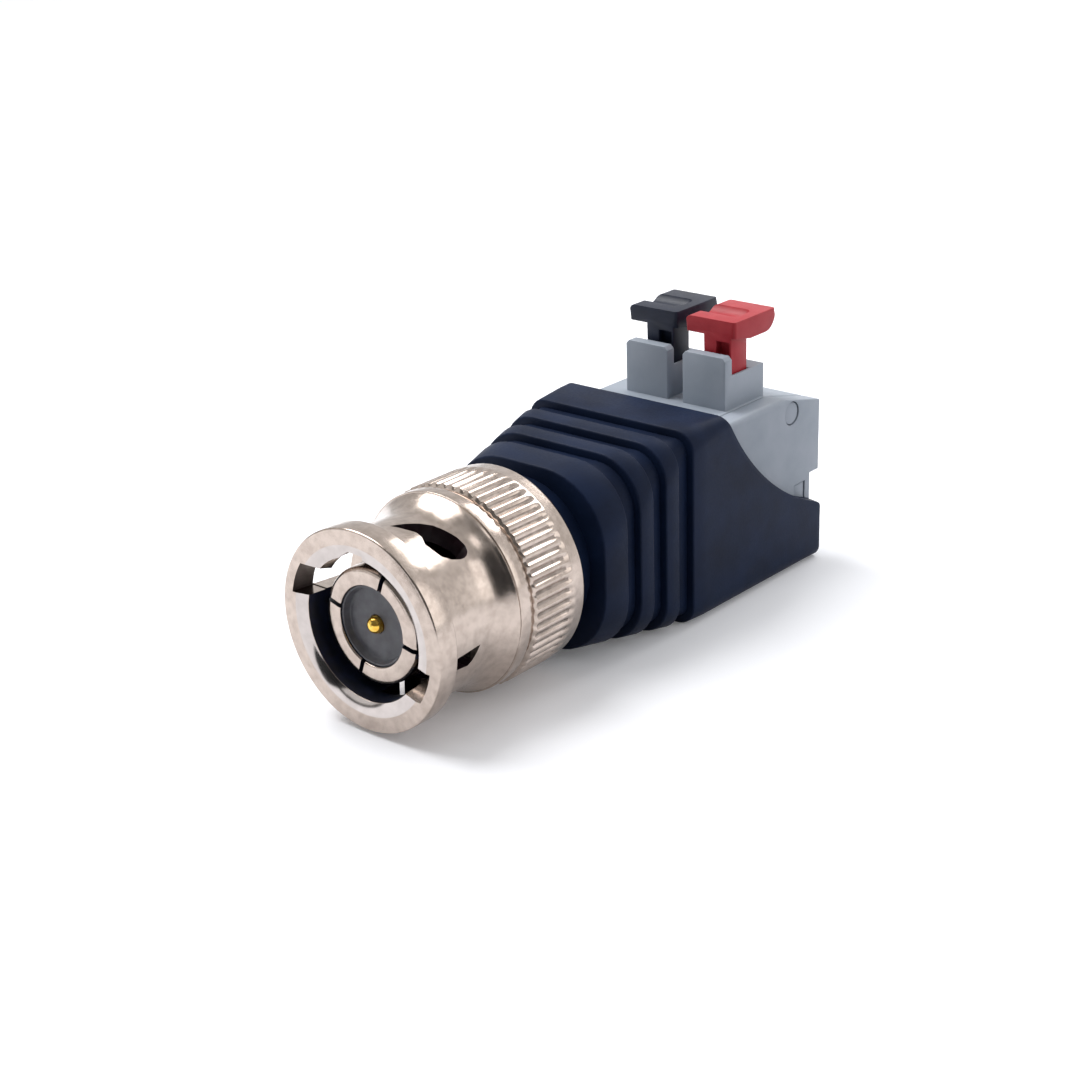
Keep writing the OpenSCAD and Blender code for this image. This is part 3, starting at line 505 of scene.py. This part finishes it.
def section(w, top, bottom, r):
    """Rounded rectangle about the axis as (x, z) points, with the same count for every size."""
    half = w / 2
    points = []
    corners = (
        (half - r, top - r, 0), (r - half, top - r, 90),
        (r - half, r - bottom, 180), (half - r, r - bottom, 270),
    )
    for i, (x, z, start) in enumerate(corners):
        turns = [radians(start + 90 * k / CORNER_STEPS) for k in range(CORNER_STEPS + 1)]
        arc = [Vector((x + r * cos(a), z + r * sin(a))) for a in turns]
        x2, z2, start2 = corners[(i + 1) % 4]
        goal = Vector((x2 + r * cos(radians(start2)), z2 + r * sin(radians(start2))))
        if i % 2:
            steps = [1 - s for s in reversed(shares)] if i == 1 else shares
        else:
            steps = [k / LEVEL_STEPS for k in range(1, LEVEL_STEPS)]
        points += arc + [arc[-1].lerp(goal, s) for s in steps]
    return points


def ring_at(y, w, top, bottom, r, inset=0.0):
    """One ring of the boot at a place along the axis, or at one place for each point."""
    flat = section(w - 2 * inset, top - inset, bottom - inset, max(r - inset, 0.2))
    return [(p.x, y if isinstance(y, (int, float)) else y[i], p.y) for i, p in enumerate(flat)]


def taper(y, inset=0.0):
    """Ring on the even taper that the ribs and the collar's front share."""
    t = (y - RIBS_FRONT) / (COLLAR_FRONT - RIBS_FRONT)
    return ring_at(y, *[a + (b - a) * t for a, b in zip(FIRST_RIB, COLLAR)], inset)


rounding = [(EDGE * (1 - cos(radians(a))), EDGE * (1 - sin(radians(a)))) for a in (0, 30, 60, 90)]
rings = [
    ring_at(BARREL_END, *BARREL_HOLE), ring_at(BOOT_FRONT, *BARREL_HOLE),
    ring_at(BOOT_FRONT, *NOSE, EDGE), ring_at(BOOT_FRONT + EDGE, *NOSE), ring_at(RIBS_FRONT, *NOSE),
]
for front, rear in RIBS:
    if front > RIBS_FRONT:
        rings.append(taper(front, GROOVE))
    rings += [taper(front + back, inset) for back, inset in rounding]
    rings += [taper(rear - back, inset) for back, inset in reversed(rounding)]
    rings.append(taper(rear, GROOVE))
rings.append(taper(COLLAR_FRONT, GROOVE))
rings += [taper(COLLAR_FRONT + back, inset) for back, inset in rounding]
rings.append(ring_at(20.2, *COLLAR_MIDDLE))
wall = (BOOT_WIDTH, BOOT_TOP, BOOT_BOTTOM)
edge = [rear_edge(p.y) for p in section(*wall, WALL_CORNER)]
for back in (1.2, 0.5):
    rings.append(ring_at([y - back for y in edge], *wall, WALL_CORNER + 0.1 * back))
for back, inset in reversed(rounding):
    rings.append(ring_at([y - back for y in edge], *wall, WALL_CORNER, inset))
rings += [
    ring_at(edge, *BLOCK_ROOM), ring_at(BLOCK_SEAT, *BLOCK_ROOM),
    ring_at(BLOCK_SEAT, *LEAD_ROOM), ring_at(BARREL_END, *LEAD_ROOM),
]
boot = skin(rings + rings[:1])
bmesh.ops.remove_doubles(boot, verts=boot.verts, dist=1e-4)
bmesh.ops.recalc_face_normals(boot, faces=boot.faces)

# Black PVC has a blue cast and a fine moulded grain, with a soft sheen on what faces the light. The
# grain is drawn coarser than the real one, so that it shows.
pvc = clouded(
    "moulded_black_pvc", 3, 4.0, [(0.3, "#0e182d"), (0.7, "#14213b")], (0.42, 0.58),
    (0.16, 2.0, 0.25, 0.02), IOR=1.5, Specular_IOR_Level=0.1,
)
put(boot, "ribbed_boot", "adapter", "boot_plastic", [pvc], "boot")

# Terminal housing: grey polyamide, moulded with two towers that guide the buttons and two wire
# entries at the rear. Two pegs on its side hold the end cover.
BLOCK_FRONT = 20.15
# Side views of the block and of a tower, as (y, z)
BLOCK_SIDE = (
    (BLOCK_FRONT, -6.15), (BLOCK_FRONT, 6.38), (30.95, 6.38), (36.25, 5.09), (36.25, -0.56), (35.07, -0.56),
    (35.07, -6.15),
)
TOWER_SIDE = ((26.45, 5.8), (26.45, 10.4), (27.33, 10.4), (27.33, 8.88), (31.42, 8.88), (31.42, 5.8))
COVER_X = 4.8
BLOCK_X = 6.45
POLES = (2.625, -2.625)
TOWER_HALF = 1.92
CHAMBER_HALF = 1.8
STEM_X = (-0.63, 1.62)
STEM_Y = (27.63, 29.63)
SLIDE = 0.12
WIRE_R = 1.3
WIRE_MOUTH_R = 1.7
WIRE_Z = 2.4
# Round and square peg: y, z and half width
PEG = (32.45, 4.95, 0.85)
KEY = (33.65, -1.7, 0.65)
PEG_SUNK = 0.06


def slice_across(side, x0, x1):
    """Closed block from a side view of (y, z) points, between two places across."""
    return skin([[(x, y, z) for y, z in side] for x in (x0, x1)], capped=True)


def ease(bm, width, segments=3, least=40):
    """Rounds every edge that is sharper than an angle."""
    bmesh.ops.remove_doubles(bm, verts=bm.verts, dist=1e-4)
    sharp = [e for e in bm.edges if e.is_manifold and e.calc_face_angle() > radians(least)]
    bmesh.ops.bevel(
        bm, geom=sharp, offset=width, segments=segments, profile=0.5, affect="EDGES", material=-1,
        clamp_overlap=True,
    )


def ease_some(bm, width, chosen, segments=5):
    """Rounds the edges that a rule on their two ends chooses."""
    edges = [e for e in bm.edges if chosen(e.verts[0].co, e.verts[1].co)]
    bmesh.ops.bevel(
        bm, geom=edges, offset=width, segments=segments, profile=0.5, affect="EDGES", material=-1
    )


def rod(low, radius, length, direction, segments=48, far_radius=None):
    """Closed round bar, or a cone with another radius at its far end."""
    bm = bmesh.new()
    bmesh.ops.create_cone(
        bm, cap_ends=True, segments=segments, radius1=radius,
        radius2=radius if far_radius is None else far_radius, depth=length,
    )
    bmesh.ops.translate(bm, vec=(0, 0, length / 2), verts=bm.verts)
    turn_to = Vector((0, 0, 1)).rotation_difference(Vector(direction)).to_matrix()
    bmesh.ops.rotate(bm, matrix=turn_to, verts=bm.verts)
    bmesh.ops.translate(bm, vec=low, verts=bm.verts)
    return bm


housing = slice_across(BLOCK_SIDE, -BLOCK_X, COVER_X)
ease(housing, 0.07)
for x in POLES:
    tower = slice_across(TOWER_SIDE, x - TOWER_HALF, x + TOWER_HALF)
    ease_some(tower, 0.28, lambda a, b: min(a.z, b.z) > 10.3 and abs(a.x - b.x) < 0.1, 1)
    ease(tower, 0.05, least=30)
    housing = joined(housing, tower, "UNION")
(stem_left, stem_right), (stem_front, stem_rear) = STEM_X, STEM_Y
for x in POLES:
    for hollow in (
        brick((x - CHAMBER_HALF, BLOCK_FRONT - 1, -1), (x + CHAMBER_HALF, 33.05, 4.6)),
        brick(
            (x + stem_left - SLIDE, stem_front - SLIDE, 4), (x + stem_right + SLIDE, stem_rear + SLIDE, 12)
        ),
        rod((x, 32, WIRE_Z), WIRE_R, 5, (0, 1, 0)),
        rod((x, 35.65, WIRE_Z), WIRE_R, 0.61, (0, 1, 0), far_radius=WIRE_MOUTH_R),
    ):
        housing = joined(housing, hollow, "DIFFERENCE")


def key_block(x0, x1, half):
    """Square bar in the place of the square peg, between two places across."""
    y, z, _ = KEY
    return brick((x0, y - half, z - half), (x1, y + half, z + half))


peg_y, peg_z, peg_r = PEG
peg_root, peg_end = COVER_X - 0.5, BLOCK_X - PEG_SUNK
for peg in (
    rod((peg_root, peg_y, peg_z), peg_r, peg_end - peg_root, (1, 0, 0)), key_block(peg_root, peg_end, KEY[2]),
):
    ease(peg, 0.06, 2)
    housing = joined(housing, peg, "UNION")

# Grey polyamide has a fine moulded grain, drawn coarse enough to show, and a satin gloss.
polyamide = clouded(
    "moulded_grey_polyamide", 2.5, 4.0, [(0.3, "#929ba6"), (0.7, "#9ea5b0")], (0.4, 0.55),
    (0.2, 2.0, 0.2, 0.02), IOR=1.53, Specular_IOR_Level=0.25,
)
put(housing, "grey_housing", "adapter", "housing_plastic", [polyamide], "terminal_housing")

# End cover: a plate of the same grey plastic, pushed over the housing's round and square pegs. A
# narrow seam shows where it meets the housing, and its upper edge is well rounded.
SEAM = 0.1
PEG_ROOM = 0.08
cover = slice_across(BLOCK_SIDE, COVER_X + SEAM, BLOCK_X)
ease_some(cover, 0.45, lambda a, b: min(a.x, b.x) > 6 and min(a.z, b.z) > 6)
ease(cover, 0.06)
for hole in (
    rod((COVER_X - 1, peg_y, peg_z), peg_r + PEG_ROOM, 4, (1, 0, 0)),
    key_block(COVER_X - 1, BLOCK_X + 1, KEY[2] + PEG_ROOM),
):
    cover = joined(cover, hole, "DIFFERENCE")
put(cover, "grey_end_cover", "adapter", "housing_plastic", [polyamide], "end_cover")

# Push buttons: moulded in one colour for each pole. The head is a grooved finger bar, its stem
# runs down through the tower onto the clamp spring, and a shoulder keeps it in.
HEAD_X = (-2.45, 1.95)
HEAD_TOP = 12.8
HEAD_SIDE = ((27.63, 11.58), (29.63, 11.2), (32.83, 11.2), (32.83, HEAD_TOP), (27.63, HEAD_TOP))
HEEL_R = 1.25
STEM_FOOT = 2.85
SHOULDER = 0.4


def button(x):
    """Head, stem and shoulder of the button at a pole."""
    head = slice_across(HEAD_SIDE, *HEAD_X)
    # The heel first, then the corners seen from above, then the edges of the top and the underside
    ease_some(head, HEEL_R, lambda a, b: min(a.y, b.y) > 32.8 and max(a.z, b.z) < 11.3, 10)
    ease_some(head, 0.45, lambda a, b: max(a.x, b.x) < -2.4 and min(a.z, b.z) > 12.7)
    ease_some(head, 0.25, lambda a, b: abs(a.z - b.z) > 0.3 and abs(a.y - b.y) + abs(a.x - b.x) < 0.1)
    ease(head, 0.22, 4)
    groove = rod((-4, 30.1, HEAD_TOP + 0.7), 1.3, 5.1, (1, 0, 0), 64)
    ease_some(groove, 0.6, lambda a, b: min(a.x, b.x) > 0.9)
    head = joined(head, groove, "DIFFERENCE")
    stem = brick((stem_left, stem_front, STEM_FOOT), (stem_right, stem_rear, 11.9))
    for v in stem.verts:
        if v.co.x < 0 and v.co.z > 11:
            v.co.x -= 0.22
    stem = joined(stem, brick((0.3, 27, 6.4), (1.46, stem_front + 0.6, 11.2)), "DIFFERENCE")
    ease(stem, 0.05, 2)
    shoulder = brick(
        (stem_left, stem_front - SHOULDER, STEM_FOOT), (stem_right, stem_rear + SHOULDER, STEM_FOOT + 0.8)
    )
    ease(shoulder, 0.05, 2)
    made = joined(joined(head, stem, "UNION"), shoulder, "UNION")
    bmesh.ops.translate(made, vec=(x, 0, 0), verts=made.verts)
    return made


def dress(node, material):
    """Gives a CAD node one material."""
    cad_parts[node].data.materials.clear()
    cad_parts[node].data.materials.append(material)


# Each button's plastic is satin with faint clouds, and its lead's sleeve is of the same colour.
for name, x, lead, low, high in (
    ("red", POLES[0], "signal_lead", "#a32831", "#af323a"),
    ("black", POLES[1], "ground_lead", "#161c2c", "#1d2437"),
):
    plastic = clouded(
        f"moulded_{name}_polyamide", 1.2, 3.0, [(0.3, low), (0.7, high)], (0.32, 0.48),
        (0.15, 2.0, 0.15, 0.015), IOR=1.53, Specular_IOR_Level=0.2,
    )
    put(button(x), f"{name}_push_button", name, f"{name}_plastic", [plastic], f"button_{name}")
    dress(lead, plastic)

# Inner pieces, seen only through the windows and entries: a moulded rubber gasket, washers, ring and
# clamp springs stamped from spring steel, and contact strips and a lug of brass sheet. They keep
# their solids and get their own finish.

# Rubber is matt and almost black.
rubber = clouded("black_nitrile_rubber", 0.4, 3.0, [(0.3, "#0c0e14"), (0.7, "#161a22")], (0.6, 0.8), IOR=1.5)
# Rolled spring steel is a cool, slightly blurred mirror.
steel = clouded(
    "rolled_spring_steel", 0.3, 2.0, [(0.3, "#8f9194"), (0.7, "#a6a8ab")], (0.25, 0.42), Metallic=1.0
)
# Rolled brass is as blurred, and yellow.
brass = clouded("rolled_brass", 0.4, 2.0, [(0.3, "#b3924f"), (0.7, "#cbab66")], (0.25, 0.4), Metallic=1.0)
for material, nodes in (
    (rubber, ("gasket",)),
    (milky, ("rear_insulator",)),
    (steel, ("thrust_washer", "retaining_ring", "clamp_spring_red", "clamp_spring_black")),
    (brass, ("ground_lug", "contact_strip_red", "contact_strip_black")),
):
    for node in nodes:
        dress(node, material)

# Wave washer: a ring of spring steel strip with three waves, held between the body's flange and
# the thrust washer. It is pressed flat as the nut is drawn forward.
WAVE_FRONT = 2.9
WAVE_HEIGHT = 0.9
WAVE_STRIP = 0.25
WAVES = 3
WAVE_RADII = (4.6, 5.75)
WAVE_STEPS = 96
inner, outer = WAVE_RADII
rings = []
for k in range(WAVE_STEPS):
    turn_by = 360 * k / WAVE_STEPS
    y = WAVE_FRONT + (WAVE_HEIGHT - WAVE_STRIP) * (1 + sin(radians(WAVES * turn_by))) / 2
    corners = ((inner, y), (outer, y), (outer, y + WAVE_STRIP), (inner, y + WAVE_STRIP))
    rings.append([at(turn_by, radius, place) for radius, place in corners])
wave = skin(rings + rings[:1])
bmesh.ops.remove_doubles(wave, verts=wave.verts, dist=1e-4)
bmesh.ops.recalc_face_normals(wave, faces=wave.faces)
wave = put(wave, "wave_spring_washer", "adapter", "spring_steel", [steel], "wave_washer")
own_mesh(wave)

# Table: a sheet of pale paper under the boot and the knurl. The camera and the nickel see it
# lighter and lit a little from itself, so that it shows as white and keeps the shadow.
TABLE_Z = -7.25
TABLE_HALF = 3000


def lay_out(bm, name, material):
    """Makes an object of a sheet in millimetres, attached to none of the plug's bodies."""
    bmesh.ops.scale(bm, vec=(MM, MM, MM), verts=bm.verts)
    mesh = bpy.data.meshes.new(name)
    bm.to_mesh(mesh)
    bm.free()
    mesh.materials.append(material)
    made = bpy.data.objects.new(name, mesh)
    bpy.context.scene.collection.objects.link(made)
    return made


paper, tree, shader = surface(
    "white_paper", Roughness=0.9, Specular_IOR_Level=0.1, Emission_Color=(1, 1, 1, 1)
)
path = add(tree, "ShaderNodeLightPath")
seen = add(
    tree, "ShaderNodeMath", {"operation": "ADD"}, {0: (path, "Is Camera Ray"), 1: (path, "Is Glossy Ray")}
)
seen = add(
    tree, "ShaderNodeMath", {"operation": "ADD", "use_clamp": True},
    {0: (seen, "Value"), 1: (path, "Is Transmission Ray")},
)
shade = add(tree, "ShaderNodeValToRGB", {"ramp": [(0, "#b8b9be"), (1, "#f7f8fc")]}, {"Fac": (seen, "Value")})
lift = add(tree, "ShaderNodeMath", {"operation": "MULTIPLY", 1: 0.08}, {0: (seen, "Value")})
tree.links.new(shade.outputs["Color"], shader.inputs["Base Color"])
tree.links.new(lift.outputs["Value"], shader.inputs["Emission Strength"])
sheet = bmesh.new()
bmesh.ops.create_grid(sheet, x_segments=1, y_segments=1, size=TABLE_HALF)
bmesh.ops.translate(sheet, vec=(0, 0, TABLE_Z), verts=sheet.verts)
lay_out(sheet, "table_paper", paper)

# Light: a room that is brighter towards the rear, with a long soft box behind the plug, one at the
# left and one high in front of it that throw the shadow to the right, a weak one at the right, a low
# one in front and a small one above. Two black cards give the nickel something dark to mirror.
world = bpy.data.worlds.new("pale_room")
bpy.context.scene.world = world
world.use_nodes = True
tree = world.node_tree
heading = add(tree, "ShaderNodeTexCoord")
rearward = add(
    tree, "ShaderNodeVectorMath", {"operation": "DOT_PRODUCT", 1: (0, 1, 0)}, {0: (heading, "Generated")}
)
glow = add(
    tree, "ShaderNodeMapRange", {"From Min": -0.6, "To Min": 0.18, "To Max": 1.0},
    {"Value": (rearward, "Value")},
)
tree.links.new(glow.outputs["Result"], tree.nodes["Background"].inputs["Strength"])
tree.nodes["Background"].inputs["Color"].default_value = (1, 1, 1, 1)


PLUG_MIDDLE = (0, 12, 0)


def softbox(name, place, width, height, watts):
    """Area lamp, aimed at the plug; its place and size are in millimetres."""
    lamp = bpy.data.lights.new(name, "AREA")
    lamp.shape, lamp.size, lamp.size_y, lamp.energy = "RECTANGLE", width * MM, height * MM, watts
    held = bpy.data.objects.new(name, lamp)
    held.location = Vector(place) * MM
    held.rotation_euler = (Vector(PLUG_MIDDLE) - Vector(place)).to_track_quat("-Z", "Y").to_euler()
    bpy.context.scene.collection.objects.link(held)


softbox("rear", (0, 310, 297), 230, 90, 0.42)
softbox("left", (-279, 46, 312), 160, 110, 0.36)
softbox("front_high", (-207, -36, 364), 270, 270, 1.45)
softbox("right_side", (420, 160, 200), 380, 380, 0.5)
softbox("front_left", (-180, -160, 65), 220, 130, 0.067)
softbox("high_right", (88, -5, 185), 40, 50, 0.012)

# The cards show in reflections only: the camera doesn't see them, and they throw no shadow.
card_black, tree, shader = surface("black_card", Roughness=0.9, Base_Color=linear("#101216"))
for name, place, width, height, turn_by in (
    ("side_card", (76, -11, 48), 50, 88, 82), ("front_card", (-12.5, -35, -4), 6, 6.5, -17.5),
):
    card = bmesh.new()
    bmesh.ops.create_grid(card, x_segments=1, y_segments=1, size=0.5)
    bmesh.ops.scale(card, vec=(width, height, 1), verts=card.verts)
    bmesh.ops.rotate(card, matrix=Matrix.Rotation(radians(90), 3, "X"), verts=card.verts)
    bmesh.ops.rotate(card, matrix=Matrix.Rotation(radians(turn_by), 3, "Z"), verts=card.verts)
    bmesh.ops.translate(card, vec=place, verts=card.verts)
    held = lay_out(card, name, card_black)
    held.visible_camera = held.visible_shadow = False

# Camera: a long lens, looking down on the plug from its mating end.
AZIMUTH, ELEVATION, ROLL = radians(40.89), radians(22.16), radians(-1.94)
TARGET, DISTANCE = Vector((2.43, 7.73, 1.94)), 135.67
back = Vector((sin(AZIMUTH) * cos(ELEVATION), -cos(AZIMUTH) * cos(ELEVATION), sin(ELEVATION)))
level = Vector((cos(AZIMUTH), sin(AZIMUTH), 0))
right = level * cos(ROLL) + back.cross(level) * sin(ROLL)
view = Matrix((right, back.cross(right), back)).transposed().to_4x4()
view.translation = (TARGET + back * DISTANCE) * MM
lens = bpy.data.cameras.new("long_lens")
lens.sensor_width = 36
lens.lens = 66.36
lens.clip_start = MM
camera = bpy.data.objects.new("long_lens", lens)
camera.matrix_world = view
bpy.context.scene.collection.objects.link(camera)
bpy.context.scene.camera = camera
bpy.context.scene.view_settings.view_transform = "Standard"
